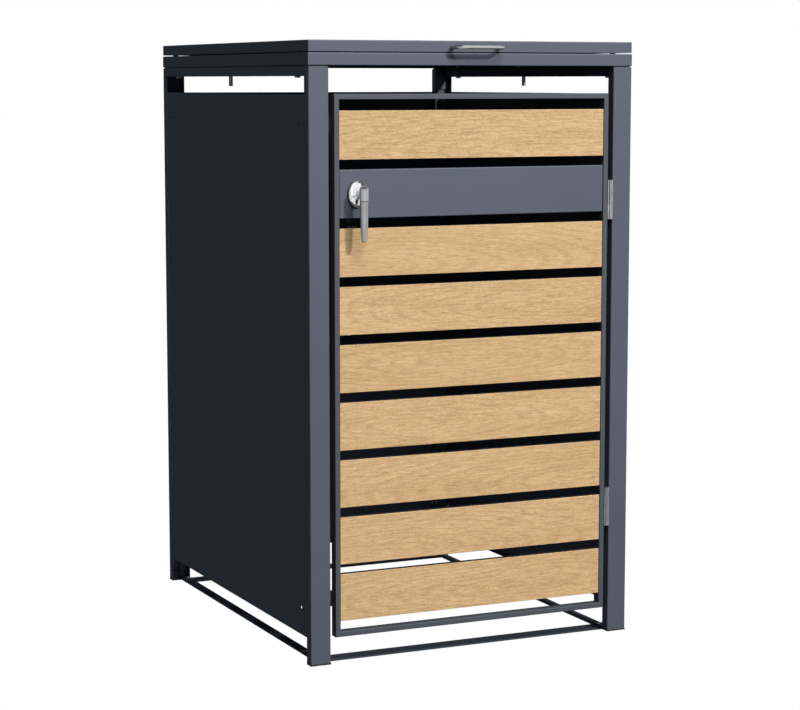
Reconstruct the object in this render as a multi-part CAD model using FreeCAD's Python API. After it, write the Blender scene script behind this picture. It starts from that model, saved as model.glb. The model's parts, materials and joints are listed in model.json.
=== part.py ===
import FreeCAD, Part
import math
import os

# Shelter for one wheeled litter bin: folded sheet-steel frame, slatted door, lifting lid.
# Millimetres. +X is to the right seen from the front, +Y to the rear, +Z up.
# The origin is on the ground, in the middle of the whole object's bounding box.

Vector = FreeCAD.Vector
os.makedirs("parts", exist_ok=True)

# ---------------------------------------------------------------- driving dimensions
body_width = 672.0
body_depth = 804.0
body_height = 1152.0
sheet = 1.5                 # posts, rails, ring and lid
panel_sheet = 1.2           # side and back panels
bend = 2.0                  # outer radius of a folded edge

post_face = 40.0
post_leg = 20.0
foot_height = 3.0
post_top = 1104.5

bar_thickness = 3.0
bar_depth = 35.0
bar_width = 20.0

panel_bottom = 50.0
panel_top = 1054.0

rail_bottom = 1087.0
rail_width = 20.0
ring_bottom = 1106.0
ring_top = 1129.5
ring_flange = 20.0

lid_bottom = 1131.5
lid_return = 12.0

door_left = 50.5            # from the left outer face of the body
door_right = 622.0
door_bottom = 50.0
door_top = 1055.0
door_tube_face = 10.0
door_tube_depth = 20.0

slat_height = 89.0
slat_gap = 18.0
slat_thickness = 12.0
slat_setback = 1.5          # slat faces lie this far behind the door frame's face
first_gap = 20.0
board_count = 9             # eight slats and the lock plate
lock_board = 8              # the lock plate is the eighth board from the bottom

lock_from_left = 95.8
lock_height = 873.0
lever_drop = 87.0
lever_rise = 17.5
lever_offset = 31.0         # lever centre line in front of the front face
lever_head_radius = 8.9
barrel_radius = 11.0
rose_half_width = 18.7
rose_half_height = 24.5
cam_reach = 76.0

hinge_length = 75.0
door_hinge_heights = (213.5, 814.0)
door_hinge_from_left = 627.0
door_hinge_ahead = 0.5
door_knuckle_radius = 3.1
pin_radius = 1.6
pin_clearance = 0.04
segment_gap = 0.4
leaf = 1.6

lid_hinge_starts = (110.0, 487.0)
lid_hinge_behind = 4.0      # lid hinge axis behind the rear face
lid_hinge_height = 1130.5
lid_knuckle_radius = 3.5

rail_bolt_depths = (74.0, 730.0)
stud_depth = 422.0

anchor_height = 1117.0      # gas spring pivot on the ring
gas_from_side = 31.0        # gas spring centre line from the body's outer face
lid_pivot_ahead = 75.0      # gas spring pivot on the lid, ahead of the lid hinge axis
lid_pivot_above = 8.0

# ---------------------------------------------------------------- places worked out from them
half = body_width / 2
left = -half
right = half
lever_reach = lever_offset + lever_head_radius              # ahead of the front face
knuckle_reach = lid_hinge_behind + lid_knuckle_radius       # behind the rear face
front = -(body_depth + knuckle_reach - lever_reach) / 2
rear = front + body_depth
middle = (front + rear) / 2
slat_pitch = slat_height + slat_gap
slat_face = front + slat_setback
slat_back = slat_face + slat_thickness
stile_inner_left = left + door_left + door_tube_face
stile_inner_right = left + door_right - door_tube_face


# ---------------------------------------------------------------- small helpers
def block(x0, x1, y0, y1, z0, z1):
    return Part.makeBox(x1 - x0, y1 - y0, z1 - z0, Vector(x0, y0, z0))


def bar(radius, start, end):
    """Round bar between two points."""
    along = end - start
    return Part.makeCylinder(radius, along.Length, start, along)


def bar_x(radius, x0, x1, y, z):
    return bar(radius, Vector(x0, y, z), Vector(x1, y, z))


def bar_y(radius, y0, y1, x, z):
    return bar(radius, Vector(x, y0, z), Vector(x, y1, z))


def bar_z(radius, z0, z1, x, y):
    return bar(radius, Vector(x, y, z0), Vector(x, y, z1))


def hexagon(across_flats, start, end):
    """Hexagonal prism between two points."""
    along = end - start
    turn = FreeCAD.Rotation(Vector(0, 0, 1), along)
    radius = across_flats / math.sqrt(3)
    corners = []
    for step in range(7):
        angle = math.radians(60 * step)
        corner = Vector(radius * math.cos(angle), radius * math.sin(angle), 0)
        corners.append(start + turn.multVec(corner))
    return Part.Face(Part.makePolygon(corners)).extrude(along)


def prism_z(corners, z0, z1):
    points = [Vector(x, y, z0) for x, y in corners]
    outline = Part.makePolygon(points + [points[0]])
    return Part.Face(outline).extrude(Vector(0, 0, z1 - z0))


def prism_x(corners, x0, x1):
    points = [Vector(x0, y, z) for y, z in corners]
    outline = Part.makePolygon(points + [points[0]])
    return Part.Face(outline).extrude(Vector(x1 - x0, 0, 0))


def prism_y(corners, y0, y1):
    points = [Vector(x, y0, z) for x, z in corners]
    outline = Part.makePolygon(points + [points[0]])
    return Part.Face(outline).extrude(Vector(0, y1 - y0, 0))


def joined(shapes):
    """One solid from pieces that are welded, cast or folded together."""
    whole = shapes[0].fuse(list(shapes[1:]))
    return whole.removeSplitter()


def runs_along(edge, axis):
    direction = edge.tangentAt(edge.FirstParameter)
    return abs(direction.dot(axis)) > 0.999


def rounded(shape, radius, chosen):
    """Fillet the straight edges whose middle point and direction pass the test."""
    edges = []
    for edge in shape.Edges:
        if len(edge.Vertexes) == 2 and chosen(edge, edge.CenterOfMass):
            edges.append(edge)
    return shape.makeFillet(radius, edges)


def flipped(shape):
    """The same piece on the other side of the body, left for right."""
    return shape.mirror(Vector(0, 0, 0), Vector(1, 0, 0))


def turned_back(shape):
    """The same piece at the other end of the body, front for rear."""
    return shape.mirror(Vector(0, middle, 0), Vector(0, 1, 0))


def save(name, shapes):
    """Write one node: a single solid, or a group of separate solids."""
    solids = []
    for shape in shapes:
        solids.extend(shape.Solids)
    node = solids[0] if len(solids) == 1 else Part.makeCompound(solids)
    node.exportStep("parts/" + name + ".step")


# ---------------------------------------------------------------- fasteners
def washer_nut(across_flats, height, bore, start, direction):
    """Flanged hexagon nut that starts at a point and grows along a direction."""
    end = start + direction * height
    flange = bar(across_flats * 0.68, start, start + direction)
    body = hexagon(across_flats, start + direction * 0.5, end)
    hole = bar(bore, start - direction, end + direction)
    return joined([flange, body]).cut(hole)


def screw(head_radius, head_height, shank_radius, shank_length, seat, direction):
    """Screw whose head stands behind the seat, with its shank along the direction."""
    head = bar(head_radius, seat - direction * head_height, seat)
    rim = []
    for edge in head.Edges:
        height = abs(edge.BoundBox.Center.sub(seat).dot(direction))
        if height > head_height * 0.9:
            rim.append(edge)
    head = head.makeFillet(head_height * 0.35, rim)
    shank = bar(shank_radius, seat - direction * 0.1, seat + direction * shank_length)
    return joined([head, shank])


def rivet_x(x0, x1, y, z):
    """Rivet along X that clamps what lies between x0 and x1."""
    head_height = 0.9
    shank = bar_x(1.95, x0 - 0.1, x1 + 0.1, y, z)
    first = bar_x(3.4, x0 - head_height, x0, y, z)
    second = bar_x(3.4, x1, x1 + head_height, y, z)
    return joined([shank, first, second])


def rivet_y(y0, y1, x, z):
    """Rivet along Y that clamps what lies between y0 and y1."""
    head_height = 0.9
    shank = bar_y(1.95, y0 - 0.1, y1 + 0.1, x, z)
    first = bar_y(3.4, y0 - head_height, y0, x, z)
    second = bar_y(3.4, y1, y1 + head_height, x, z)
    return joined([shank, first, second])


# ---------------------------------------------------------------- posts and feet
panel_stud_heights = (110.0, 400.0, 700.0, 990.0)
panel_stud_inset = 13.0
panel_stud_radius = 2.5
base_bolt_place = (29.0, 37.0)      # from the corner of the body, along X and Y
lug = 3.0


def front_left_post():
    """U-shaped post with its welded studs, foot lug and top lug."""
    outer = block(left, left + post_face, front, front + post_leg, foot_height, post_top)
    outer = rounded(outer, bend, lambda edge, at: runs_along(edge, Vector(0, 0, 1)) and at.y < front + 1)
    hollow = block(left + sheet, left + post_face - sheet, front + sheet, front + post_leg,
                   foot_height, post_top)
    post = outer.cut(hollow)
    foot_lug = [
        block(left + 20.5, left + 37.5, front + sheet - 0.2, front + sheet + lug, foot_height, 60),
        block(left + 20.5, left + 37.5, front + sheet, front + 50, foot_height, foot_height + lug),
    ]
    top_lug = [
        block(left + 2, left + 38, front + sheet - 0.2, front + sheet + lug, 1060, 1103),
        block(left + 2, left + 18, front + sheet, front + 90, 1100, 1103),
    ]
    studs = []
    stud_y = front + panel_stud_inset
    for height in panel_stud_heights:
        studs.append(bar_x(panel_stud_radius, left + sheet - 0.2, left + 12, stud_y, height))
    post = joined([post] + foot_lug + top_lug + studs)
    bolt_x, bolt_y = base_bolt_place
    post = post.cut(bar_z(3.2, 0, 20, left + bolt_x, front + bolt_y))
    return post.cut(bar_z(3.2, 1090, 1110, left + rail_width / 2, front + rail_bolt_depths[0]))


back_screw_heights = (120.0, 400.0, 700.0, 980.0)
back_screw_inset = 10.0             # in front of the rear face


def back_screw_holes():
    holes = []
    for height in back_screw_heights:
        holes.append(bar_x(2.6, left + 36, left + 46, rear - back_screw_inset, height))
    return Part.makeCompound(holes)


def hinge_rivet_heights(bottom):
    return (bottom + 12, bottom + hinge_length - 12)


hinge_rivet_depth = 11.0            # behind the front face
post_left = front_left_post()
post_right = flipped(post_left)
for hinge_bottom in door_hinge_heights:
    for height in hinge_rivet_heights(hinge_bottom):
        post_right = post_right.cut(bar_x(2.0, right - 45, right - 36, front + hinge_rivet_depth, height))
rear_post_left = turned_back(post_left).cut(back_screw_holes())
save("post_front_left", [post_left])
save("post_front_right", [post_right])
save("post_rear_left", [rear_post_left])
save("post_rear_right", [flipped(rear_post_left)])


def foot_cap():
    """Plastic plug under a post, a hair wider than the post."""
    proud = 0.3
    plate = block(left - proud, left + post_face + proud, front - proud, front + post_leg, 0, foot_height)
    spigot = block(left + 3.4, left + 19.5, front + 6, front + 18, foot_height - 0.5, 20)
    return joined([plate, spigot])


caps = [foot_cap(), flipped(foot_cap())]
save("foot_caps", caps + [turned_back(cap) for cap in caps])


# ---------------------------------------------------------------- base bars
def base_bars():
    corner = 20.0
    bolt_x, bolt_y = base_bolt_place
    front_bar = block(left + corner, right - corner, front + corner, front + corner + bar_depth,
                      0, bar_thickness)
    for side in (-1, 1):
        front_bar = front_bar.cut(bar_z(3.1, -1, 5, side * (half - bolt_x), front + bolt_y))
    side_bar = block(left + corner, left + corner + bar_width, front + corner + bar_depth,
                     rear - corner - bar_depth, 0, bar_thickness)
    return [front_bar, turned_back(front_bar), side_bar, flipped(side_bar)]


save("base_bars", base_bars())


# ---------------------------------------------------------------- panels
link_hole_radius = 3.25
link_hole_inset = 50.0              # from the front and rear faces
link_hole_heights = (102.0, 1000.0)
panel_flange = 12.0


def side_panel():
    """Left side panel: a sheet with folded top and bottom edges, held behind the posts' legs."""
    skin = left + sheet
    edge_inset = 6.0
    sheet_part = block(skin, skin + panel_sheet, front + edge_inset, rear - edge_inset,
                       panel_bottom, panel_top)
    fold_ends = 21.0
    folds = []
    for low in (panel_bottom, panel_top - panel_sheet):
        folds.append(block(skin, skin + panel_flange, front + fold_ends, rear - fold_ends,
                           low, low + panel_sheet))
    panel = joined([sheet_part] + folds)
    for depth in (front + link_hole_inset, rear - link_hole_inset):
        for height in link_hole_heights:
            panel = panel.cut(bar_x(link_hole_radius, skin - 1, skin + 5, depth, height))
    for depth in (front + panel_stud_inset, rear - panel_stud_inset):
        for height in panel_stud_heights:
            panel = panel.cut(bar_x(panel_stud_radius + 0.2, skin - 1, skin + 5, depth, height))
    return panel


left_panel = side_panel()
save("side_panel_left", [left_panel])
save("side_panel_right", [flipped(left_panel)])


def back_panel():
    """Shallow tray between the rear posts, folded forwards all round."""
    x0 = left + post_face
    x1 = right - post_face
    skin = rear - sheet
    tray = block(x0, x1, skin - 15, skin, panel_bottom, panel_top)
    inside = block(x0 + panel_sheet, x1 - panel_sheet, skin - 15, skin - panel_sheet,
                   panel_bottom + panel_sheet, panel_top - panel_sheet)
    tray = tray.cut(inside)
    holes = back_screw_holes()
    return tray.cut(holes).cut(flipped(holes))


save("back_panel", [back_panel()])


def panel_nuts():
    nuts = []
    for depth in (front + panel_stud_inset, rear - panel_stud_inset):
        for height in panel_stud_heights:
            start = Vector(left + sheet + panel_sheet, depth, height)
            nuts.append(washer_nut(8, 5, panel_stud_radius + 0.05, start, Vector(1, 0, 0)))
    for height in back_screw_heights:
        start = Vector(left + post_face - sheet, rear - back_screw_inset, height)
        nuts.append(washer_nut(8, 4.5, 2.55, start, Vector(-1, 0, 0)))
    return nuts + [flipped(nut) for nut in nuts]


def back_panel_screws():
    screws = []
    for height in back_screw_heights:
        seat = Vector(left + post_face + panel_sheet, rear - back_screw_inset, height)
        screws.append(screw(4.5, 2.6, 2.5, 9.5, seat, Vector(-1, 0, 0)))
    return screws + [flipped(piece) for piece in screws]


save("panel_nuts", panel_nuts())
save("back_panel_screws", back_panel_screws())


# ---------------------------------------------------------------- top rails
def top_rail():
    """Left square tube between the tops of the posts."""
    y0 = front + post_leg
    y1 = rear - post_leg
    tube = block(left, left + rail_width, y0, y1, rail_bottom, post_top)
    tube = rounded(tube, bend, lambda edge, at: runs_along(edge, Vector(0, 1, 0)))
    tube = tube.cut(block(left + sheet, left + rail_width - sheet, y0, y1,
                          rail_bottom + sheet, post_top - sheet))
    for depth in rail_bolt_depths:
        tube = tube.cut(bar_z(3.2, rail_bottom - 1, post_top + 1, left + rail_width / 2, front + depth))
    return tube.cut(bar_z(4.2, rail_bottom - 1, post_top + 1, left + rail_width / 2, front + stud_depth))


left_rail = top_rail()
save("top_rail_left", [left_rail])
save("top_rail_right", [flipped(left_rail)])


# ---------------------------------------------------------------- ring under the lid
def ring_channel_front():
    """Front member: a channel open towards the middle, mitred at both ends."""
    channel = block(left, right, front, front + ring_flange, ring_bottom, ring_top)
    channel = rounded(channel, bend, lambda edge, at: runs_along(edge, Vector(1, 0, 0)) and at.y < front + 1)
    channel = channel.cut(block(left, right, front + sheet, front + ring_flange,
                                ring_bottom + sheet, ring_top - sheet))
    outline = prism_z([(left, front), (right, front), (right - ring_flange, front + ring_flange),
                       (left + ring_flange, front + ring_flange)], ring_bottom, ring_top)
    return channel.common(outline)


def ring_channel_left():
    """Left member: the same section along the side."""
    channel = block(left, left + ring_flange, front, rear, ring_bottom, ring_top)
    channel = rounded(channel, bend, lambda edge, at: runs_along(edge, Vector(0, 1, 0)) and at.x < left + 1)
    channel = channel.cut(block(left + sheet, left + ring_flange, front, rear,
                                ring_bottom + sheet, ring_top - sheet))
    outline = prism_z([(left, front), (left + ring_flange, front + ring_flange),
                       (left + ring_flange, rear - ring_flange), (left, rear)], ring_bottom, ring_top)
    channel = channel.common(outline)
    centre = left + rail_width / 2
    for depth in rail_bolt_depths:
        channel = channel.cut(bar_z(3.2, ring_bottom - 1, ring_bottom + 3, centre, front + depth))
    return channel.cut(bar_z(4.2, ring_bottom - 1, ring_bottom + 3, centre, front + stud_depth))


def lid_hinge_rivet_places():
    places = []
    for start in lid_hinge_starts:
        places.append(left + start + 12)
        places.append(left + start + hinge_length - 12)
    return places


ring_rivet_height = 1117.0
ring_front = ring_channel_front()
ring_rear = turned_back(ring_front)
for place in lid_hinge_rivet_places():
    ring_rear = ring_rear.cut(bar_y(2.0, rear - 5, rear + 1, place, ring_rivet_height))
ring_left = ring_channel_left()
save("ring_front", [ring_front])
save("ring_rear", [ring_rear])
save("ring_left", [ring_left])
save("ring_right", [flipped(ring_left)])


def ring_spacers():
    """Thin strip between rail and ring along each side, and a pad on top of each post."""
    centre = left + rail_width / 2
    strip = block(centre - 7, centre + 7, front + post_leg + 1, rear - post_leg - 1, post_top, ring_bottom)
    for depth in rail_bolt_depths + (stud_depth,):
        hole_radius = 4.2 if depth == stud_depth else 3.2
        strip = strip.cut(bar_z(hole_radius, post_top - 1, ring_bottom + 1, centre, front + depth))
    pad = block(left + 3, left + 37, front + 2, front + 18, 1103, ring_bottom)
    spacers = [strip, pad, turned_back(pad)]
    return spacers + [flipped(piece) for piece in spacers]


save("ring_spacers", ring_spacers())


def frame_bolts():
    """Hexagon bolts up through the rails into the ring, and button screws in the base."""
    bolts = []
    for depth in rail_bolt_depths:
        x = left + rail_width / 2
        y = front + depth
        head = hexagon(10, Vector(x, y, rail_bottom - 3), Vector(x, y, rail_bottom))
        bolts.append(joined([head, bar_z(3, rail_bottom - 0.2, ring_bottom + 9, x, y)]))
    bolt_x, bolt_y = base_bolt_place
    for y in (front + bolt_y, rear - bolt_y):
        seat = Vector(left + bolt_x, y, foot_height + lug)
        bolts.append(screw(5.2, 3.0, 3.0, 5.8, seat, Vector(0, 0, -1)))
    return bolts + [flipped(bolt) for bolt in bolts]


def ring_nuts():
    nuts = []
    for depth in rail_bolt_depths:
        start = Vector(left + rail_width / 2, front + depth, ring_bottom + sheet)
        nuts.append(washer_nut(10, 5.5, 3.05, start, Vector(0, 0, 1)))
    return nuts + [flipped(nut) for nut in nuts]


save("frame_bolts", frame_bolts())
save("ring_nuts", ring_nuts())


# ---------------------------------------------------------------- door frame
def tube_frame_member(long_axis):
    """Hollow rectangular tube of the door frame before mitring, as an outer and an inner block."""
    x0 = left + door_left
    x1 = left + door_right
    wall = 1.2
    y0 = front
    y1 = front + door_tube_depth
    if long_axis == "z":
        outer = block(x0, x0 + door_tube_face, y0, y1, door_bottom, door_top)
        inner = block(x0 + wall, x0 + door_tube_face - wall, y0 + wall, y1 - wall, door_bottom, door_top)
        direction = Vector(0, 0, 1)
    else:
        outer = block(x0, x1, y0, y1, door_bottom, door_bottom + door_tube_face)
        inner = block(x0, x1, y0 + wall, y1 - wall, door_bottom + wall, door_bottom + door_tube_face - wall)
        direction = Vector(1, 0, 0)
    outer = rounded(outer, 1.0, lambda edge, at: runs_along(edge, direction))
    return outer.cut(inner)


def door_frame():
    """Left stile, right stile, bottom rail and top rail, mitred at 45 degrees."""
    x0 = left + door_left
    x1 = left + door_right
    face = door_tube_face
    y0 = front - 1
    y1 = front + door_tube_depth + 1
    stile_outline = prism_y([(x0, door_bottom), (x0 + face, door_bottom + face),
                             (x0 + face, door_top - face), (x0, door_top)], y0, y1)
    rail_outline = prism_y([(x0, door_bottom), (x1, door_bottom),
                            (x1 - face, door_bottom + face), (x0 + face, door_bottom + face)], y0, y1)
    stile = tube_frame_member("z").common(stile_outline)
    rail = tube_frame_member("x").common(rail_outline)
    door_middle = Vector((x0 + x1) / 2, 0, (door_bottom + door_top) / 2)
    other_stile = stile.mirror(door_middle, Vector(1, 0, 0))
    other_rail = rail.mirror(door_middle, Vector(0, 0, 1))
    return stile, other_stile, rail, other_rail


door_stile_left, door_stile_right, door_rail_bottom, door_rail_top = door_frame()
for hinge_bottom in door_hinge_heights:
    for height in hinge_rivet_heights(hinge_bottom):
        hole = bar_x(2.0, left + door_right - 3, left + door_right + 1, front + hinge_rivet_depth, height)
        door_stile_right = door_stile_right.cut(hole)
save("door_stile_left", [door_stile_left])
save("door_stile_right", [door_stile_right])
save("door_rail_bottom", [door_rail_bottom])
save("door_rail_top", [door_rail_top])


# ---------------------------------------------------------------- slats, lock plate and their tabs
slat_x0 = stile_inner_left + 0.4
slat_x1 = stile_inner_right - 0.4
tab_width = 25.0
tab_height = 30.0
tab_thickness = 2.0
tab_screw_from_stile = 13.0
tab_screw_rise = 9.0


def board_bottom(number):
    """Height of the lower edge of board 1 to 9, counted from the bottom."""
    return door_bottom + door_tube_face + first_gap + (number - 1) * slat_pitch


def board_screw_places(number):
    """X and Z of the four screws that hold one board."""
    centre = board_bottom(number) + slat_height / 2
    places = []
    for x in (stile_inner_left + tab_screw_from_stile, stile_inner_right - tab_screw_from_stile):
        for z in (centre - tab_screw_rise, centre + tab_screw_rise):
            places.append((x, z))
    return places


def slat(number):
    low = board_bottom(number)
    board = block(slat_x0, slat_x1, slat_face, slat_back, low, low + slat_height)
    board = rounded(board, 0.8, lambda edge, at: at.y < slat_face + 0.1)
    for x, z in board_screw_places(number):
        board = board.cut(bar_y(1.9, slat_back - 8.5, slat_back + 1, x, z))
    return board


def lock_plate():
    """Steel tray in the place of a slat, folded back on all four edges."""
    low = board_bottom(lock_board)
    high = low + slat_height
    tray = block(slat_x0, slat_x1, slat_face, slat_back, low, high)
    tray = rounded(tray, 1.5, lambda edge, at: at.y < slat_face + 0.1)
    lip = 25.0
    hollow = block(slat_x0 + panel_sheet, slat_x1 - panel_sheet, slat_face + sheet,
                   slat_back - panel_sheet, low + panel_sheet, high - panel_sheet)
    back_window = block(slat_x0 + lip, slat_x1 - lip, slat_face + sheet, slat_back,
                        low + panel_sheet, high - panel_sheet)
    tray = tray.cut(hollow).cut(back_window)
    for x, z in board_screw_places(lock_board):
        tray = tray.cut(bar_y(1.9, slat_back - 3, slat_back + 1, x, z))
    return tray.cut(bar_y(barrel_radius + 0.1, slat_face - 1, slat_back, left + lock_from_left, lock_height))


def slat_tabs():
    """Small plates welded to the stiles, two behind each board."""
    tabs = []
    for number in range(1, board_count + 1):
        centre = board_bottom(number) + slat_height / 2
        for x0 in (stile_inner_left, stile_inner_right - tab_width):
            tab = block(x0, x0 + tab_width, slat_back, slat_back + tab_thickness,
                        centre - tab_height / 2, centre + tab_height / 2)
            for x, z in board_screw_places(number):
                tab = tab.cut(bar_y(2.0, slat_back - 1, slat_back + 4, x, z))
            tabs.append(tab)
    return tabs


def slat_screws():
    screws = []
    for number in range(1, board_count + 1):
        for x, z in board_screw_places(number):
            seat = Vector(x, slat_back + tab_thickness, z)
            screws.append(screw(3.5, 2.0, 1.85, 10, seat, Vector(0, -1, 0)))
    return screws


slat_name = 0
for number in range(board_count, 0, -1):
    if number == lock_board:
        save("lock_plate", [lock_plate()])
    else:
        slat_name += 1
        save("slat_%d" % slat_name, [slat(number)])
save("slat_tabs", slat_tabs())
save("slat_screws", slat_screws())


# ---------------------------------------------------------------- door hinges
segment_count = 5
segment_length = hinge_length / segment_count
door_axis_x = left + door_hinge_from_left
door_axis_y = front - door_hinge_ahead


def knuckle_segments(wanted):
    """Start and end of the hinge segments whose number leaves the wanted remainder by two."""
    spans = []
    for index in range(segment_count):
        if index % 2 == wanted:
            low = index * segment_length
            trimmed = segment_gap / 2
            spans.append((low + (trimmed if index else 0),
                          low + segment_length - (trimmed if index < segment_count - 1 else 0)))
    return spans


def door_hinge_leaf(bottom, wall_x, inwards, wanted):
    """Leaf plate on a wall at wall_x, its knuckles, and the two rivets that hold it."""
    plate_x = sorted((wall_x, wall_x + inwards * leaf))
    plate = block(plate_x[0], plate_x[1], door_axis_y - leaf / 2, front + 19, bottom, bottom + hinge_length)
    pieces = [plate]
    for low, high in knuckle_segments(wanted):
        pieces.append(bar_z(door_knuckle_radius, bottom + low, bottom + high, door_axis_x, door_axis_y))
        web_x = sorted((wall_x, door_axis_x))
        pieces.append(block(web_x[0], web_x[1], door_axis_y - leaf / 2, door_axis_y + leaf / 2,
                            bottom + low, bottom + high))
    hinge_leaf = joined(pieces)
    bore = bar_z(pin_radius + pin_clearance, bottom - 1, bottom + hinge_length + 1, door_axis_x, door_axis_y)
    hinge_leaf = hinge_leaf.cut(bore)
    for height in hinge_rivet_heights(bottom):
        hinge_leaf = hinge_leaf.cut(bar_x(2.0, wall_x - 5, wall_x + 5, front + hinge_rivet_depth, height))
    return hinge_leaf


def door_hinge_rivets(bottom, wall_x, inwards, wall_thickness):
    ends = sorted((wall_x + inwards * leaf, wall_x - inwards * wall_thickness))
    depth = front + hinge_rivet_depth
    return [rivet_x(ends[0], ends[1], depth, height) for height in hinge_rivet_heights(bottom)]


post_leaves = []
door_leaves = []
hinge_pins = []
for hinge_bottom in door_hinge_heights:
    post_wall = right - post_face
    post_leaves.append(door_hinge_leaf(hinge_bottom, post_wall, -1, 0))
    post_leaves += door_hinge_rivets(hinge_bottom, post_wall, -1, sheet)
    door_wall = left + door_right
    door_leaves.append(door_hinge_leaf(hinge_bottom, door_wall, 1, 1))
    door_leaves += door_hinge_rivets(hinge_bottom, door_wall, 1, 1.2)
    hinge_pins.append(bar_z(pin_radius, hinge_bottom, hinge_bottom + hinge_length, door_axis_x, door_axis_y))
save("door_hinge_post_leaves", post_leaves)
save("door_hinge_leaves", door_leaves)


# ---------------------------------------------------------------- lid hinges
lid_axis_y = rear + lid_hinge_behind
lid_plate_gap = 4.0                 # the leaf plates stop this far above and below the hinge axis


def lid_hinge_leaf(start, direction, plate_end, wanted):
    """Leaf on the rear face, below the axis for direction -1 and above it for direction 1."""
    x0 = left + start
    heights = sorted((lid_hinge_height + direction * lid_plate_gap, plate_end))
    pieces = [block(x0, x0 + hinge_length, rear, rear + sheet, heights[0], heights[1])]
    for low, high in knuckle_segments(wanted):
        pieces.append(bar_x(lid_knuckle_radius, x0 + low, x0 + high, lid_axis_y, lid_hinge_height))
        reach = sorted((lid_hinge_height + direction * 0.5, lid_hinge_height + direction * lid_plate_gap))
        pieces.append(block(x0 + low, x0 + high, rear, rear + sheet + 0.2, reach[0], reach[1]))
    hinge_leaf = joined(pieces)
    bore = bar_x(pin_radius + pin_clearance, x0 - 1, x0 + hinge_length + 1, lid_axis_y, lid_hinge_height)
    return hinge_leaf.cut(bore)


lid_rivet_height = 1143.5
ring_leaves = []
lid_leaves = []
for hinge_start in lid_hinge_starts:
    ring_leaves.append(lid_hinge_leaf(hinge_start, -1, 1108, 0))
    lid_leaves.append(lid_hinge_leaf(hinge_start, 1, 1149.5, 1))
    pin_x = left + hinge_start
    hinge_pins.append(bar_x(pin_radius, pin_x, pin_x + hinge_length, lid_axis_y, lid_hinge_height))
for place in lid_hinge_rivet_places():
    ring_hole = bar_y(2.0, rear - 1, rear + 3, place, ring_rivet_height)
    lid_hole = bar_y(2.0, rear - 1, rear + 3, place, lid_rivet_height)
    ring_leaves = [piece.cut(ring_hole) for piece in ring_leaves]
    lid_leaves = [piece.cut(lid_hole) for piece in lid_leaves]
for place in lid_hinge_rivet_places():
    ring_leaves.append(rivet_y(rear - sheet, rear + sheet, place, ring_rivet_height))
    lid_leaves.append(rivet_y(rear - sheet, rear + sheet, place, lid_rivet_height))
save("lid_hinge_ring_leaves", ring_leaves)
save("lid_hinge_leaves", lid_leaves)
save("hinge_pins", hinge_pins)


# ---------------------------------------------------------------- lock
lock_x = left + lock_from_left
lever_y = front - lever_offset
spindle_radius = 5.0
square = 3.4                        # half the width of the spindle's square end
escutcheon_face = front - 9.0
barrel_nose = escutcheon_face - 1.4
barrel_end = front + 12.0
cam_face = front + 31.0             # front of the cam where it sits on the spindle
cam_thickness = 3.0
cam_crank = 8.5                     # the cam's outer end lies this much further forward


def oval(half_width, half_height, y):
    """Upright oval outline about the lock axis."""
    crown = Vector(lock_x, y, lock_height + half_height)
    side = Vector(lock_x + half_width, y, lock_height)
    return Part.Wire(Part.Ellipse(crown, side, Vector(lock_x, y, lock_height)).toShape())


def barrel_hole(y0, y1):
    return bar_y(barrel_radius + 0.1, y0, y1, lock_x, lock_height)


def escutcheon():
    """Oval domed rose in front of the lock plate, round where it meets the barrel."""
    rim = front - 1.2
    crown_width = 11.4
    crown_height = 11.6
    slope_end = math.radians(45)
    steps = 6
    outlines = []
    for step in range(steps + 1):
        angle = slope_end * step / steps
        inward = (1 - math.cos(angle)) / (1 - math.cos(slope_end))
        rise = math.sin(angle) / math.sin(slope_end)
        outlines.append(oval(rose_half_width + (crown_width - rose_half_width) * inward,
                             rose_half_height + (crown_height - rose_half_height) * inward,
                             rim + (escutcheon_face - rim) * rise))
    dome = Part.makeLoft(outlines, True)
    skirt = Part.Face(outlines[0]).extrude(Vector(0, front - rim, 0))
    return dome.fuse(skirt).cut(barrel_hole(escutcheon_face - 1, front + 1))


def lock_gasket():
    """Rubber oval between the rose and the lock plate, a little wider than the rose."""
    margin = 0.7
    outline = oval(rose_half_width + margin, rose_half_height + margin, front)
    pad = Part.Face(outline).extrude(Vector(0, slat_setback, 0))
    return pad.cut(barrel_hole(front - 1, slat_face + 1))


def lock_barrel():
    """Threaded sleeve with a sloping front; it carries the spindle through the lock plate."""
    sleeve = bar_y(barrel_radius, escutcheon_face, barrel_end, lock_x, lock_height)
    nose = Part.makeCone(barrel_radius, 8.0, escutcheon_face - barrel_nose,
                         Vector(lock_x, escutcheon_face, lock_height), Vector(0, -1, 0))
    bore = bar_y(spindle_radius + 0.05, barrel_nose - 1, barrel_end + 1, lock_x, lock_height)
    return joined([sleeve, nose]).cut(bore)


def lock_nut():
    start = Vector(lock_x, slat_face + sheet, lock_height)
    nut = hexagon(27, start, start + Vector(0, 6, 0))
    return nut.cut(bar_y(barrel_radius + 0.05, start.y - 1, start.y + 7, lock_x, lock_height))


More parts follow.
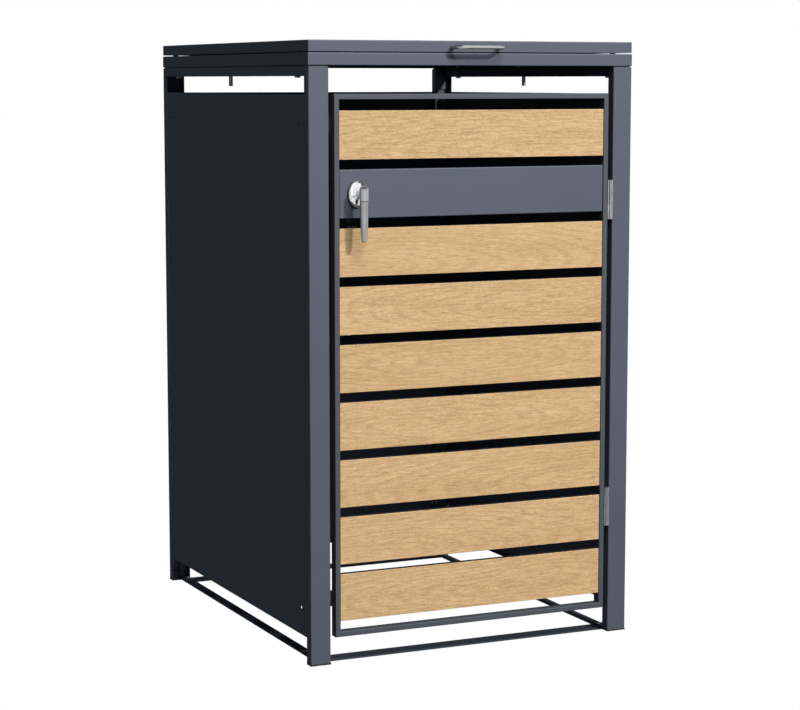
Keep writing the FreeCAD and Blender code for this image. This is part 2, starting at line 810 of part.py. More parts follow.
def lock_lever():
    """Cast lever that hangs down from its stem, with the spindle behind it."""
    head_radius = lever_head_radius
    tip_radius = 4.8
    seam = lock_height - 10.5
    top = lock_height + lever_rise
    tip = lock_height - lever_drop
    taper = ((8.2, 1.4), (8.0, 14.0), (7.4, 37.0), (6.5, 54.0))     # radius, distance below the seam
    bulge = math.sqrt(0.5)
    shoulder = Vector(head_radius, 0, top - head_radius)
    crown = Vector(head_radius * bulge, 0, top - head_radius * (1 - bulge))
    head_foot = Vector(head_radius - 0.3, 0, seam)
    groove = Vector(taper[0][0] - 0.4, 0, seam - 0.4)
    side = [Vector(radius, 0, seam - below) for radius, below in taper]
    tip_side = Vector(tip_radius, 0, tip + tip_radius)
    tip_middle = Vector(tip_radius * bulge, 0, tip + tip_radius * (1 - bulge))
    flank = Part.BSplineCurve()
    flank.interpolate(side + [tip_side])
    outline = [
        Part.Arc(Vector(0, 0, top), crown, shoulder).toShape(),
        Part.LineSegment(shoulder, head_foot).toShape(),
        Part.LineSegment(head_foot, groove).toShape(),
        Part.LineSegment(groove, side[0]).toShape(),
        flank.toShape(),
        Part.Arc(tip_side, tip_middle, Vector(0, 0, tip)).toShape(),
    ]
    skin = Part.Wire(outline).revolve(Vector(0, 0, 0), Vector(0, 0, 1), 360)
    grip = Part.Solid(Part.Shell(skin.Faces))
    grip.translate(Vector(lock_x, lever_y, 0))
    stem = bar_y(7.5, lever_y, barrel_nose - 0.4, lock_x, lock_height)
    spindle = bar_y(spindle_radius, barrel_nose - 2, cam_face - 0.1, lock_x, lock_height)
    end = block(lock_x - square, lock_x + square, cam_face - 1, cam_face + cam_thickness,
                lock_height - square, lock_height + square)
    lever = joined([grip, stem, spindle, end])
    return lever.cut(bar_y(2.0, cam_face - 10, cam_face + cam_thickness + 1, lock_x, lock_height))


def lock_cam():
    """Cranked tongue; it hangs down when the lever does, and swings behind the left post."""
    half_width = 9.0
    back = cam_face + cam_thickness
    crank_start = lock_height - 54.0
    crank_end = lock_height - 62.0
    tip = lock_height - cam_reach
    side_view = [
        (cam_face, lock_height),
        (cam_face, crank_start),
        (cam_face - cam_crank, crank_end),
        (cam_face - cam_crank, tip),
        (back - cam_crank, tip),
        (back - cam_crank, crank_end),
        (back, crank_start),
        (back, lock_height),
    ]
    tongue = prism_x(side_view, lock_x - half_width, lock_x + half_width)
    tongue = rounded(tongue, 5.0, lambda edge, at: runs_along(edge, Vector(0, 1, 0)) and at.z < tip + 1)
    tongue = joined([tongue, bar_y(half_width, cam_face, back, lock_x, lock_height)])
    hole = square + 0.05
    return tongue.cut(block(lock_x - hole, lock_x + hole, cam_face - 1, back + 1,
                            lock_height - hole, lock_height + hole))


def cam_screw():
    seat = Vector(lock_x, cam_face + cam_thickness, lock_height)
    return screw(6.0, 2.8, 1.95, 10, seat, Vector(0, -1, 0))


save("escutcheon", [escutcheon()])
save("lock_gasket", [lock_gasket()])
save("lock_barrel", [lock_barrel()])
save("lock_nut", [lock_nut()])
save("lock_lever", [lock_lever()])
save("lock_cam", [lock_cam()])
save("cam_screw", [cam_screw()])


# ---------------------------------------------------------------- door stops and rubber buffers
stop_heights = (120.0, 1000.0)


def door_stops():
    """Angle plates inside the left front post that reach behind the closed door's stile."""
    stops = []
    for height in stop_heights:
        inner = left + post_face - sheet
        leg = block(inner - 2, inner, front + 5, front + 24, height - 15, height + 15)
        arm = block(inner - 2, left + 62, front + 22, front + 24, height - 15, height + 15)
        stops.append(joined([leg, arm]))
    return stops


def rubber_buffers():
    """Discs on the door stops, and discs between the ring and the lid."""
    buffers = []
    for height in stop_heights:
        buffers.append(bar_y(5, front + 20.4, front + 22, left + 55.5, height))
    for x in (left + 8, right - 8):
        for y in (front + 60, rear - 60):
            buffers.append(bar_z(5.5, ring_top, lid_bottom - 0.3, x, y))
    return buffers


save("door_stops", door_stops())
save("rubber_buffers", rubber_buffers())


# ---------------------------------------------------------------- lid
handle_spacing = 96.0
handle_reach = 27.0
handle_radius = 4.0
handle_height = 1140.0
handle_corner = 12.0
handle_screw_radius = 2.0


def lid_panel():
    """Folded lid: top sheet, skirt all round and a narrow return under the skirt."""
    lid = block(left, right, front, rear, lid_bottom, body_height)
    lid = rounded(lid, bend, lambda edge, at: at.z > lid_bottom + 1)
    lid = lid.cut(block(left + sheet, right - sheet, front + sheet, rear - sheet,
                        lid_bottom + sheet, body_height - sheet))
    edge = sheet + lid_return
    lid = lid.cut(block(left + edge, right - edge, front + edge, rear - edge,
                        lid_bottom - 1, lid_bottom + sheet + 1))
    for side in (-1, 1):
        x = side * handle_spacing / 2
        lid = lid.cut(bar_y(handle_screw_radius + 0.2, front - 1, front + 3, x, handle_height))
    for place in lid_hinge_rivet_places():
        lid = lid.cut(bar_y(2.0, rear - 3, rear + 1, place, lid_rivet_height))
    return lid


def lid_stiffeners():
    """Two channels spot-welded under the lid's top sheet."""
    channels = []
    for y in (front + 240, front + 560):
        outer = block(left + 60, right - 60, y - 20, y + 20, body_height - sheet - 12, body_height - sheet)
        inner = block(left + 60, right - 60, y - 20 + panel_sheet, y + 20 - panel_sheet,
                      body_height - sheet - 12 + panel_sheet, body_height - sheet)
        channels.append(outer.cut(inner))
    return channels


def lid_handle():
    """Bent round bar on the front of the lid."""
    x = handle_spacing / 2
    y = front - handle_reach
    bevel = handle_corner * (1 - math.sqrt(0.5))
    z = handle_height
    path = [
        Part.LineSegment(Vector(-x, front, z), Vector(-x, y + handle_corner, z)).toShape(),
        Part.Arc(Vector(-x, y + handle_corner, z), Vector(-x + bevel, y + bevel, z),
                 Vector(-x + handle_corner, y, z)).toShape(),
        Part.LineSegment(Vector(-x + handle_corner, y, z), Vector(x - handle_corner, y, z)).toShape(),
        Part.Arc(Vector(x - handle_corner, y, z), Vector(x - bevel, y + bevel, z),
                 Vector(x, y + handle_corner, z)).toShape(),
        Part.LineSegment(Vector(x, y + handle_corner, z), Vector(x, front, z)).toShape(),
    ]
    circle = Part.Wire(Part.makeCircle(handle_radius, Vector(-x, front, z), Vector(0, -1, 0)))
    bow = Part.Wire(path).makePipeShell([circle], True, True)
    for side in (-1, 1):
        bow = bow.cut(bar_y(handle_screw_radius + 0.05, front - 10, front + 1, side * x, z))
    return bow


def lid_handle_screws():
    screws = []
    for side in (-1, 1):
        seat = Vector(side * handle_spacing / 2, front + sheet, handle_height)
        screws.append(screw(4.0, 2.4, handle_screw_radius, 10, seat, Vector(0, -1, 0)))
    return screws


save("lid_panel", [lid_panel()])
save("lid_stiffeners", lid_stiffeners())
save("lid_handle", [lid_handle()])
save("lid_handle_screws", lid_handle_screws())


# ---------------------------------------------------------------- gas springs
anchor = Vector(left + gas_from_side, front + stud_depth, anchor_height)
lid_pivot = Vector(left + gas_from_side, lid_axis_y - lid_pivot_ahead, lid_hinge_height + lid_pivot_above)
spring_line = lid_pivot - anchor
spring_length = spring_line.Length
spring_direction = spring_line * (1 / spring_length)
eye_half_width = 5.0
pivot_radius = 4.0
pivot_clearance = 0.06
cylinder_radius = 7.5
rod_radius = 4.0
rod_clearance = 0.1
gland_position = spring_length - 24.0


def at_length(distance):
    """Point on the spring's centre line, measured from the anchor pivot."""
    return anchor + spring_direction * distance


def anchor_bracket():
    """Angle bracket in the ring, with its pivot pin and the long stud that hangs below the rail."""
    floor = ring_bottom + sheet
    upright_x = left + ring_flange
    foot = block(left + 3, upright_x + 2, anchor.y - 11, anchor.y + 14, floor, floor + 2)
    upright = block(upright_x, upright_x + 2, anchor.y - 11, anchor.y + 14, floor, anchor_height + 9)
    pin = bar_x(pivot_radius, upright_x + 1, anchor.x + eye_half_width + 1.5, anchor.y, anchor.z)
    collar = bar_x(6.0, upright_x + 1, anchor.x - eye_half_width - 0.3, anchor.y, anchor.z)
    stud = bar_z(4.0, 1068, floor + 1, left + rail_width / 2, anchor.y)
    return joined([foot, upright, pin, collar, stud])


def lid_bracket():
    """Angle bracket under the lid, beside the rod's end."""
    top = body_height - sheet
    upright = block(left + 21, left + 23, lid_pivot.y - 12, lid_pivot.y + 12, lid_pivot.z - 6, top)
    foot = block(left + 21, left + 40, lid_pivot.y - 12, lid_pivot.y + 12, top - 1.6, top)
    return joined([upright, foot])


def gas_cylinder():
    """Closed tube with an eye on the anchor pin and a gland where the rod leaves."""
    eye = bar_x(7.0, anchor.x - eye_half_width, anchor.x + eye_half_width, anchor.y, anchor.z)
    neck = bar(4.5, at_length(4), at_length(16))
    tube = bar(cylinder_radius, at_length(14), at_length(gland_position))
    body = joined([eye, neck, tube])
    body = body.cut(bar(cylinder_radius - 1.3, at_length(20), at_length(gland_position - 6)))
    gland = bar(rod_radius + rod_clearance, at_length(gland_position - 8), at_length(gland_position + 1))
    body = body.cut(gland)
    return body.cut(bar_x(pivot_radius + pivot_clearance, anchor.x - 8, anchor.x + 8, anchor.y, anchor.z))


def gas_rod():
    """Rod with its piston, its end eye, and the ball stud that meets the lid bracket."""
    piston = bar(cylinder_radius - 1.7, at_length(gland_position - 150), at_length(gland_position - 140))
    shaft = bar(rod_radius, at_length(gland_position - 141), at_length(spring_length - 6))
    socket = bar(5.5, at_length(spring_length - 18), at_length(spring_length - 4))
    eye = bar_x(7.0, lid_pivot.x - eye_half_width, lid_pivot.x + eye_half_width, lid_pivot.y, lid_pivot.z)
    stud = bar_x(3.5, left + 23.4, lid_pivot.x, lid_pivot.y, lid_pivot.z)
    return joined([piston, shaft, socket, eye, stud])


save("gas_spring_anchors", [anchor_bracket(), flipped(anchor_bracket())])
save("gas_spring_lid_brackets", [lid_bracket(), flipped(lid_bracket())])
left_cylinder = gas_cylinder()
left_rod = gas_rod()
save("gas_cylinder_left", [left_cylinder])
save("gas_cylinder_right", [flipped(left_cylinder)])
save("gas_rod_left", [left_rod])
save("gas_rod_right", [flipped(left_rod)])
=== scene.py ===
"""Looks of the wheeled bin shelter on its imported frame: materials of the CAD nodes, studio and camera."""

import json
import math

import bmesh
import bpy
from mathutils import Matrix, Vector


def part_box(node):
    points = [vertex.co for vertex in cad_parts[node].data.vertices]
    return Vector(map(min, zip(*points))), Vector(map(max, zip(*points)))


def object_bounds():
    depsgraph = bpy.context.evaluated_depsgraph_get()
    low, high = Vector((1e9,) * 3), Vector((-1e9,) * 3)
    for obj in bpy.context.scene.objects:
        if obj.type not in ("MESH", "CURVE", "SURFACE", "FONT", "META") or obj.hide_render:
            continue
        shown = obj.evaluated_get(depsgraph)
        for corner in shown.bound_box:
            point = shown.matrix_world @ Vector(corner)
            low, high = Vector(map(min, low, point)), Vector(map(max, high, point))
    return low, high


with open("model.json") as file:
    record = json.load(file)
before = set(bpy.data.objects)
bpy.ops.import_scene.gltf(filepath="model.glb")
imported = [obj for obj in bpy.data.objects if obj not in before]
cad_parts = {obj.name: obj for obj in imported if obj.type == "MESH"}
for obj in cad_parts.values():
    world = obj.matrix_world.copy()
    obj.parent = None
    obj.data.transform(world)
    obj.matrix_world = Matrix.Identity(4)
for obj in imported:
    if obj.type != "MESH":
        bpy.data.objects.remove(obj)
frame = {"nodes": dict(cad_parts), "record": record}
cad_low, cad_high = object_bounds()
nodes = frame["nodes"]


# ---------------------------------------------------------------- material helpers
# The band that holds most of a noise texture's values.
NOISE_LOW, NOISE_HIGH = 0.3, 0.7
# The colour-mix node has one set of sockets per data type, so its colour ones are taken by number.
MIX_FACTOR, MIX_FIRST, MIX_SECOND, MIX_RESULT = 0, 6, 7, 2


def linear(red, green, blue):
    """Display colour 0..255 as linear light, by the sRGB curve."""
    out = []
    for value in (red, green, blue):
        c = value / 255
        out.append(c / 12.92 if c <= 0.04045 else ((c + 0.055) / 1.055) ** 2.4)
    return out + [1.0]


def shaded(colour, factor):
    """A colour made darker or lighter."""
    return [c * factor for c in colour[:3]] + [1.0]


def grey(value):
    """A colour with no hue."""
    return (value, value, value, 1.0)


class Tree:
    """A material's node tree with short ways to add and join nodes."""

    def __init__(self, name):
        self.material = bpy.data.materials.new(name)
        self.material.use_nodes = True
        self.nodes = self.material.node_tree.nodes
        self.links = self.material.node_tree.links
        self.nodes.clear()
        self.shader = self.add("ShaderNodeBsdfPrincipled")
        output = self.add("ShaderNodeOutputMaterial")
        self.join(self.shader.outputs["BSDF"], output.inputs["Surface"])
        self.coordinates = self.add("ShaderNodeTexCoord")
        self.place = self.coordinates.outputs["Object"]

    def add(self, kind, **values):
        """A new node with some of its settings."""
        node = self.nodes.new(kind)
        for key, value in values.items():
            setattr(node, key, value)
        return node

    def join(self, source, target):
        self.links.new(source, target)

    def feed(self, value, target):
        """An input socket joined to a socket, or set to a constant."""
        if hasattr(value, "is_linked"):
            self.join(value, target)
        else:
            target.default_value = value

    def stretched(self, source, scale, shift=(0, 0, 0)):
        """Coordinates scaled per axis, in cycles per metre, and shifted."""
        node = self.add("ShaderNodeMapping")
        node.inputs["Scale"].default_value = scale
        node.inputs["Location"].default_value = shift
        self.join(source, node.inputs["Vector"])
        return node.outputs["Vector"]

    def axes(self, source):
        """The X, Y and Z sockets of a vector."""
        node = self.add("ShaderNodeSeparateXYZ")
        self.join(source, node.inputs[0])
        return node.outputs["X"], node.outputs["Y"], node.outputs["Z"]

    def noise(self, vector, scale, detail, roughness):
        """A noise of so many cycles per metre, with finer cycles on top by detail and roughness."""
        node = self.add("ShaderNodeTexNoise")
        node.inputs["Scale"].default_value = scale
        node.inputs["Detail"].default_value = detail
        node.inputs["Roughness"].default_value = roughness
        self.join(vector, node.inputs["Vector"])
        return node.outputs["Fac"]

    def ramp(self, source, stops):
        """Colours along a value: stops are (position, colour)."""
        node = self.add("ShaderNodeValToRGB")
        elements = node.color_ramp.elements
        while len(elements) < len(stops):
            elements.new(1.0)
        for element, (position, colour) in zip(elements, stops):
            element.position = position
            element.color = colour
        self.join(source, node.inputs["Fac"])
        return node.outputs["Color"]

    def clouded(self, noise, dark, light):
        """A colour that drifts between two with a noise."""
        return self.ramp(noise, [(NOISE_LOW, dark), (NOISE_HIGH, light)])

    def span(self, source, low, high, from_low=NOISE_LOW, from_high=NOISE_HIGH):
        """A value's range moved to low..high."""
        node = self.add("ShaderNodeMapRange")
        node.inputs["From Min"].default_value = from_low
        node.inputs["From Max"].default_value = from_high
        node.inputs["To Min"].default_value = low
        node.inputs["To Max"].default_value = high
        self.join(source, node.inputs["Value"])
        return node.outputs["Result"]

    def mix(self, kind, factor, first, second):
        """Two colours mixed; each value may be a socket or a constant."""
        node = self.add("ShaderNodeMix", data_type="RGBA", blend_type=kind)
        self.feed(factor, node.inputs[MIX_FACTOR])
        self.feed(first, node.inputs[MIX_FIRST])
        self.feed(second, node.inputs[MIX_SECOND])
        return node.outputs[MIX_RESULT]

    def maths(self, operation, first, second=0.0):
        """A sum on one or two values; each may be a socket or a constant."""
        node = self.add("ShaderNodeMath", operation=operation)
        self.feed(first, node.inputs[0])
        self.feed(second, node.inputs[1])
        return node.outputs[0]

    def bump(self, height, distance, strength, below=None):
        """Relief from a value, on top of another relief if one is given."""
        node = self.add("ShaderNodeBump")
        node.inputs["Strength"].default_value = strength
        node.inputs["Distance"].default_value = distance
        self.join(height, node.inputs["Height"])
        if below is not None:
            self.join(below, node.inputs["Normal"])
        return node.outputs["Normal"]

    def set(self, **values):
        """Shader sockets set to a constant or fed by a socket."""
        for key, value in values.items():
            self.feed(value, self.shader.inputs[key.replace("_", " ")])


# ---------------------------------------------------------------- painted steel
def powder_coat(name, colour, gloss_tint, ior):
    """Satin powder coat: faint clouding, tiny specks and a fine orange-peel surface."""
    tree = Tree(name)
    clouds = tree.noise(tree.place, 9.0, 4.0, 0.6)
    specks = tree.noise(tree.place, 900.0, 2.0, 0.5)
    peel = tree.noise(tree.place, 420.0, 2.0, 0.45)
    base = tree.clouded(clouds, shaded(colour, 0.93), shaded(colour, 1.06))
    speckle = tree.ramp(specks, [(0.35, grey(0.9)), (0.65, grey(1.0))])
    tree.set(
        Base_Color=tree.mix("MULTIPLY", 0.35, base, speckle),
        Roughness=tree.span(clouds, 0.62, 0.68),
        Normal=tree.bump(peel, 0.00006, 0.35),
        Specular_Tint=gloss_tint,
        IOR=ior,
    )
    return tree.material


# ---------------------------------------------------------------- oak decor
# How far each next board is moved through the pattern, along its three axes and in depth.
BOARD_SHIFT = (7.31, 3.17, 1.93)
BOARD_DEPTH = 0.37

# The fibres wander up and down by this much, in metres, at this many cycles per metre.
WANDER_HEIGHT = 0.022
WANDER_SCALE = (4.0, 4.0, 14.0)

# Growth rings: height of a ring over its length, lines in radians per metre, and their wander.
RING_FLATNESS = 0.13
RING_LINES = 900.0
RING_WANDER = 9.0

# The boards' fronts face -Y: between these two slopes the decor fades into a near-black core, painted shade
# on top edges.
SHADED_CORE_SLOPE, DECOR_SLOPE = -0.45, -0.65

# Layers of grain: cycles per metre along the board and across it, noise detail, noise roughness.
GRAIN = {
    "broad": (3.0, 28.0, 3.0, 0.55),
    "medium": (10.0, 190.0, 3.0, 0.6),
    "grit": (420.0, 700.0, 1.0, 0.5),
    "short": (75.0, 900.0, 2.0, 0.5),
    "long": (18.0, 800.0, 2.0, 0.5),
    "pores": (40.0, 520.0, 2.0, 0.5),
}
TONES = [
    (0.28, linear(196, 164, 119)),
    (0.50, linear(203, 171, 127)),
    (0.72, linear(208, 176, 133)),
]

# What each layer multiplies the tone by: strength, colours along its values.
FINE_FIBRE = [(0.33, (0.78, 0.745, 0.69, 1.0)), (0.66, (1.115, 1.125, 1.13, 1.0))]
SHADES = {
    "ring": (0.52, [(0.30, grey(1.0)), (0.95, (0.86, 0.80, 0.72, 1.0))]),
    "medium": (0.30, [(0.35, (0.86, 0.82, 0.76, 1.0)), (0.62, grey(1.04))]),
    "grit": (0.70, FINE_FIBRE),
    "short": (0.66, FINE_FIBRE),
    "long": (0.66, FINE_FIBRE),
    "pores": (0.60, [(0.28, (0.62, 0.52, 0.42, 1.0)), (0.38, grey(1.0))]),
}


def oak(name, board, low, high):
    """Light oak decor on a board between two corners.

    Fibres run along X and wander a little, with faint nested growth lines and dark pores. Each board
    shows another piece of the pattern. Its edges and back are a near-black core, which on the top edges is
    painted shade.
    """
    tree = Tree(name)
    shift = [board * step for step in BOARD_SHIFT]
    x, _, z = tree.axes(tree.place)
    wander = tree.noise(tree.stretched(tree.place, WANDER_SCALE, shift), 1.0, 2.0, 0.5)
    z = tree.maths("ADD", z, tree.maths("MULTIPLY", wander, WANDER_HEIGHT))
    warped = tree.add("ShaderNodeCombineXYZ")
    tree.join(x, warped.inputs["X"])
    tree.join(z, warped.inputs["Z"])
    warped.inputs["Y"].default_value = board * BOARD_DEPTH

    # The middle of the growth rings is at another place on each board.
    ring_x = low.x + (high.x - low.x) * (0.5 + 0.45 * math.sin(board * 2.4))
    ring_z = (low.z + high.z) / 2 + 0.02 * math.sin(board * 5.1)
    down = tree.maths("SUBTRACT", z, ring_z)
    away = tree.maths("MULTIPLY", tree.maths("SUBTRACT", x, ring_x), RING_FLATNESS)
    squares = tree.maths("ADD", tree.maths("MULTIPLY", down, down), tree.maths("MULTIPLY", away, away))
    lines = tree.maths("MULTIPLY", tree.maths("SQRT", squares), RING_LINES)
    lines = tree.maths("ADD", lines, tree.maths("MULTIPLY", wander, RING_WANDER))
    layers = {"ring": tree.maths("SINE", lines)}
    for layer, (along, across, detail, roughness) in GRAIN.items():
        vector = tree.stretched(warped.outputs[0], (along, 1.0, across), shift)
        layers[layer] = tree.noise(vector, 1.0, detail, roughness)

    decor = tree.ramp(layers["broad"], TONES)
    for layer, (strength, stops) in SHADES.items():
        decor = tree.mix("MULTIPLY", strength, decor, tree.ramp(layers[layer], stops))
    # Near-black core colour for the edges and back; on the top edges, which the lamps light, it is painted
    # shade.
    dark_core_and_shade = tree.clouded(layers["medium"], (0.012, 0.012, 0.013, 1.0), (0.02, 0.02, 0.022, 1.0))
    slope = tree.axes(tree.coordinates.outputs["Normal"])[1]
    front = tree.span(slope, 0.0, 1.0, SHADED_CORE_SLOPE, DECOR_SLOPE)
    fibre_relief = tree.bump(layers["medium"], 0.00012, 0.35)
    tree.set(
        Base_Color=tree.mix("MIX", front, dark_core_and_shade, decor),
        Roughness=tree.span(layers["medium"], 0.56, 0.48),
        Normal=tree.bump(layers["pores"], 0.00010, 0.3, fibre_relief),
        IOR=1.45,
    )
    return tree.material


# ---------------------------------------------------------------- metals and mouldings
# Around the seam of a cast lever: half the height of the darkened band, in metres, and the factors from the
# darker grip below, over a painted shade line at the joint, to the head above.
SEAM_REACH = 0.004
SEAM_PAINTED_SHADE = [(0.38, grey(0.80)), (0.42, grey(0.30)), (0.50, grey(0.30)), (0.54, grey(1.0))]


def metal(name, colour, rough_low, rough_high, streaks=(60.0, 60.0, 60.0), seam=None):
    """Bare or plated metal with faint streaks along the direction of polish.

    A seam is the height of the joint between a cast head and the grip below it: a painted shade line marks
    the joint, and the grip is darker than the head.
    """
    tree = Tree(name)
    lines = tree.noise(tree.stretched(tree.place, streaks), 1.0, 4.0, 0.6)
    clouds = tree.noise(tree.place, 35.0, 3.0, 0.55)
    base = tree.clouded(clouds, shaded(colour, 0.88), colour)
    # Painted shade: a dark line at the seam, and the grip below made darker than the head.
    if seam is not None:
        height = tree.axes(tree.place)[2]
        level = tree.span(height, 0.0, 1.0, seam - SEAM_REACH, seam + SEAM_REACH)
        base = tree.mix("MULTIPLY", 1.0, base, tree.ramp(level, SEAM_PAINTED_SHADE))
    tree.set(
        Base_Color=base,
        Metallic=1.0,
        Roughness=tree.span(lines, rough_low, rough_high),
        Normal=tree.bump(lines, 0.00002, 0.5),
    )
    return tree.material


def moulded(name, colour, roughness, grain):
    """Lacquer, moulded plastic or rubber with a fine texture of so many cycles per metre."""
    tree = Tree(name)
    fine = tree.noise(tree.place, grain, 3.0, 0.6)
    clouds = tree.noise(tree.place, 25.0, 3.0, 0.5)
    tree.set(
        Base_Color=tree.clouded(clouds, shaded(colour, 0.8), colour),
        Roughness=tree.span(fine, roughness - 0.08, roughness + 0.08),
        Normal=tree.bump(fine, 0.00008, 0.4),
        IOR=1.5,
    )
    return tree.material


# ---------------------------------------------------------------- materials on the nodes
# How far the seam of the lever lies below its top.
LEVER_SEAM_DROP = 0.028

slot_materials = {
    "anthracite_steel": powder_coat(
        "anthracite_coat", [0.036, 0.043, 0.058, 1.0], gloss_tint=(0.80, 0.88, 1.0, 1.0), ior=2.0
    ),
    "lock_chrome": metal("polished_chrome", [0.86, 0.86, 0.87, 1.0], 0.05, 0.10),
    "bright_steel": metal("bright_zinc", [0.74, 0.75, 0.76, 1.0], 0.38, 0.50),
    "black_steel": moulded("black_lacquer", [0.018, 0.018, 0.02, 1.0], 0.3, 300.0),
    "black_plastic": moulded("black_moulding", [0.022, 0.022, 0.025, 1.0], 0.55, 900.0),
    "black_rubber": moulded("black_rubber", [0.016, 0.016, 0.016, 1.0], 0.75, 1200.0),
}

# Nodes with their own material: satin lever and lid handle, and a darker, less glossy copy of the coat on
# the door frame.
lever_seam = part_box("lock_lever")[1].z - LEVER_SEAM_DROP
node_materials = {
    "lock_lever": metal(
        "satin_chrome", [0.84, 0.84, 0.83, 1.0], 0.34, 0.42, streaks=(300.0, 300.0, 12.0), seam=lever_seam
    ),
    "lid_handle": metal("satin_bar", [0.66, 0.66, 0.67, 1.0], 0.34, 0.42, streaks=(12.0, 300.0, 300.0)),
}
door_coat = powder_coat(
    "door_coat", [0.034, 0.038, 0.048, 1.0], gloss_tint=(0.86, 0.89, 0.96, 1.0), ior=1.86
)
for node in ("door_stile_left", "door_stile_right", "door_rail_top", "door_rail_bottom"):
    node_materials[node] = door_coat

for part in frame["record"]["subparts"]:
    node, slot = part["node"], part["material_slot"]
    if slot == "oak_decor":
        board = int(node.split("_")[1])
        material = oak("oak_" + node, board, *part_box(node))
    else:
        material = node_materials.get(node, slot_materials[slot])
    mesh = nodes[node].data
    mesh.materials.clear()
    mesh.materials.append(material)


# ---------------------------------------------------------------- white surroundings
FLOOR_REACH = 60.0

scene = bpy.context.scene
scene.view_settings.view_transform = "Standard"

# The world is white where it is seen, and only a dim blue where it lights the object.
world = bpy.data.worlds.new("studio")
scene.world = world
world.use_nodes = True
world_nodes = world.node_tree.nodes
world_links = world.node_tree.links
world_nodes.clear()
dim = world_nodes.new("ShaderNodeBackground")
dim.inputs["Color"].default_value = (0.72, 0.84, 1.0, 1.0)
dim.inputs["Strength"].default_value = 0.12
pale = world_nodes.new("ShaderNodeBackground")
pale.inputs["Color"].default_value = grey(1.0)
pale.inputs["Strength"].default_value = 1.0
seen = world_nodes.new("ShaderNodeLightPath")
either = world_nodes.new("ShaderNodeMixShader")
world_output = world_nodes.new("ShaderNodeOutputWorld")
world_links.new(seen.outputs["Is Camera Ray"], either.inputs[0])
world_links.new(dim.outputs[0], either.inputs[1])
world_links.new(pale.outputs[0], either.inputs[2])
world_links.new(either.outputs[0], world_output.inputs["Surface"])


def floor_material():
    """Almost shadowless white ground: mostly its own light, with a little that takes soft shadows."""
    tree = Tree("studio_floor")
    clouds = tree.noise(tree.place, 1.5, 2.0, 0.5)
    tree.set(
        Base_Color=tree.ramp(clouds, [(0.0, grey(0.04)), (1.0, grey(0.06))]),
        Roughness=0.9,
        Specular_IOR_Level=0.0,
        Emission_Color=grey(1.0),
        Emission_Strength=1.0,
    )
    return tree.material


floor_mesh = bpy.data.meshes.new("floor")
floor_bm = bmesh.new()
corners = []
for side_x, side_y in ((-1, -1), (1, -1), (1, 1), (-1, 1)):
    corners.append(floor_bm.verts.new((side_x * FLOOR_REACH, side_y * FLOOR_REACH, 0.0)))
floor_bm.faces.new(corners)
floor_bm.to_mesh(floor_mesh)
floor_bm.free()
floor_mesh.materials.append(floor_material())
floor = bpy.data.objects.new("floor", floor_mesh)
scene.collection.objects.link(floor)
floor.visible_diffuse = False
floor.visible_glossy = False


# ---------------------------------------------------------------- lights
target = Vector((0.0, 0.0, (cad_low.z + cad_high.z) / 2))


def receivers(name, wanted):
    """Collection of the nodes that a light falls on."""
    group = bpy.data.collections.new(name)
    for node_name, node in nodes.items():
        if wanted(node_name):
            group.objects.link(node)
    return group


def softbox(name, direction, distance, width, height, power, lit):
    """Area light that looks at the middle of the object and falls on one group of nodes."""
    lamp = bpy.data.lights.new(name, "AREA")
    lamp.shape = "RECTANGLE"
    lamp.size = width
    lamp.size_y = height
    lamp.energy = power
    holder = bpy.data.objects.new(name, lamp)
    scene.collection.objects.link(holder)
    holder.location = target + Vector(direction).normalized() * distance
    holder.rotation_mode = "QUATERNION"
    holder.rotation_quaternion = (target - holder.location).to_track_quat("-Z", "Y")
    holder.visible_camera = False
    holder.light_linking.receiver_collection = lit


bare = ("escutcheon", "lock_barrel", "lock_lever", "lid_handle")
inside = ("back_panel", "back_panel_screws", "panel_nuts")
polished = receivers("polished", lambda name: name in ("escutcheon", "lock_barrel"))
satin = receivers("satin", lambda name: name in ("lock_lever", "lid_handle"))
bar = receivers("bar", lambda name: name == "lid_handle")
painted = receivers("painted", lambda name: name not in bare and not name.startswith("base_bar"))
outside = receivers("outside", lambda name: name not in bare and name not in inside)

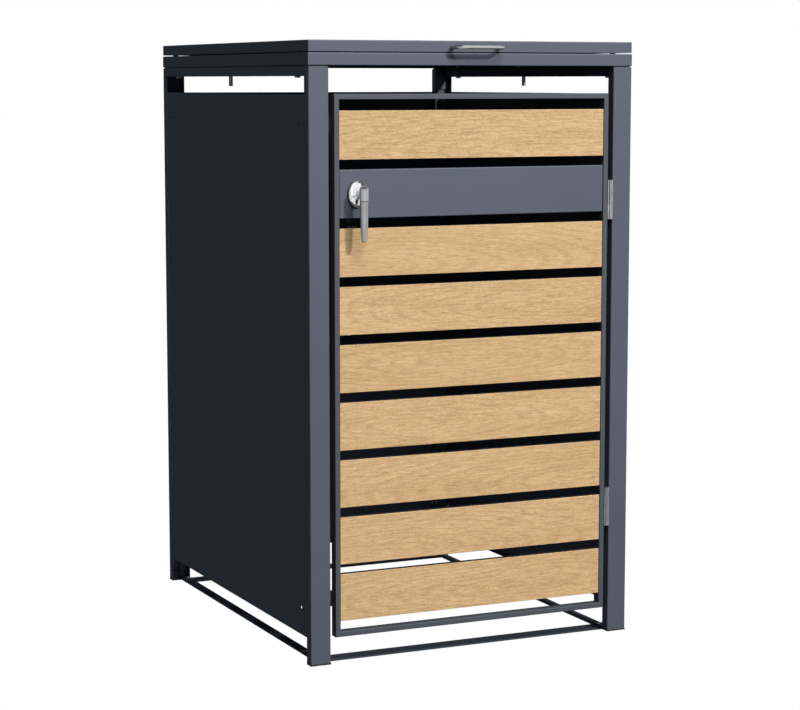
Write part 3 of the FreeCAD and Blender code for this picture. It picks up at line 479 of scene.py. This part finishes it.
# Name, direction from the object's middle, distance, width and height in metres, power in watts, group.
for light in (
    ("key", (0.359, -0.771, 0.526), 14.0, 1.2, 1.2, 1480.0, outside),
    ("fill", (0.0, -0.62, 0.785), 16.0, 8.0, 6.4, 2400.0, painted),
    ("back_fill", (0.80, 0.60, 0.45), 6.0, 3.0, 3.0, 120.0, painted),
    ("rose_front", (-0.10, -1.00, 0.55), 5.0, 9.0, 6.0, 160.0, polished),
    ("rose_middle", (0.00, -1.00, -0.12), 5.2, 9.0, 1.4, 18.0, polished),
    ("rose_below", (0.05, -0.83, -0.55), 5.0, 8.0, 3.0, 60.0, polished),
    ("rose_left", (-1.00, -0.35, 0.00), 4.0, 6.0, 6.0, 80.0, polished),
    ("rose_above", (-0.30, -0.10, 1.00), 4.0, 5.0, 5.0, 60.0, polished),
    ("satin_front", (-0.10, -1.00, 0.00), 4.0, 10.0, 5.0, 90.0, satin),
    ("satin_left", (-1.00, 0.00, 0.10), 4.0, 5.0, 5.0, 26.0, satin),
    ("satin_right", (1.00, -0.10, 0.10), 4.0, 4.0, 5.0, 50.0, satin),
    ("satin_below", (-0.20, -0.60, -0.80), 4.0, 4.0, 3.0, 36.0, satin),
    ("bar_front", (0.42, -0.90, 0.25), 4.0, 3.0, 2.0, 12.0, bar),
    ("bar_above", (0.30, -0.45, 0.85), 4.0, 3.0, 1.5, 24.0, bar),
):
    softbox(*light)


# ---------------------------------------------------------------- camera
CAMERA_PLACE = (-1.8606, -4.0739, 1.0786)
CAMERA_YAW = math.radians(24.827)
CAMERA_PITCH = math.radians(7.088)
CAMERA_LENS = 99.25
CAMERA_SENSOR = 36.0

camera_data = bpy.data.cameras.new("camera")
camera_data.sensor_width = CAMERA_SENSOR
camera_data.lens = CAMERA_LENS
camera = bpy.data.objects.new("camera", camera_data)
scene.collection.objects.link(camera)
camera.location = CAMERA_PLACE
forward = Vector(
    (
        math.sin(CAMERA_YAW) * math.cos(CAMERA_PITCH),
        math.cos(CAMERA_YAW) * math.cos(CAMERA_PITCH),
        -math.sin(CAMERA_PITCH),
    )
)
camera.rotation_mode = "QUATERNION"
camera.rotation_quaternion = forward.to_track_quat("-Z", "Y")
scene.camera = camera
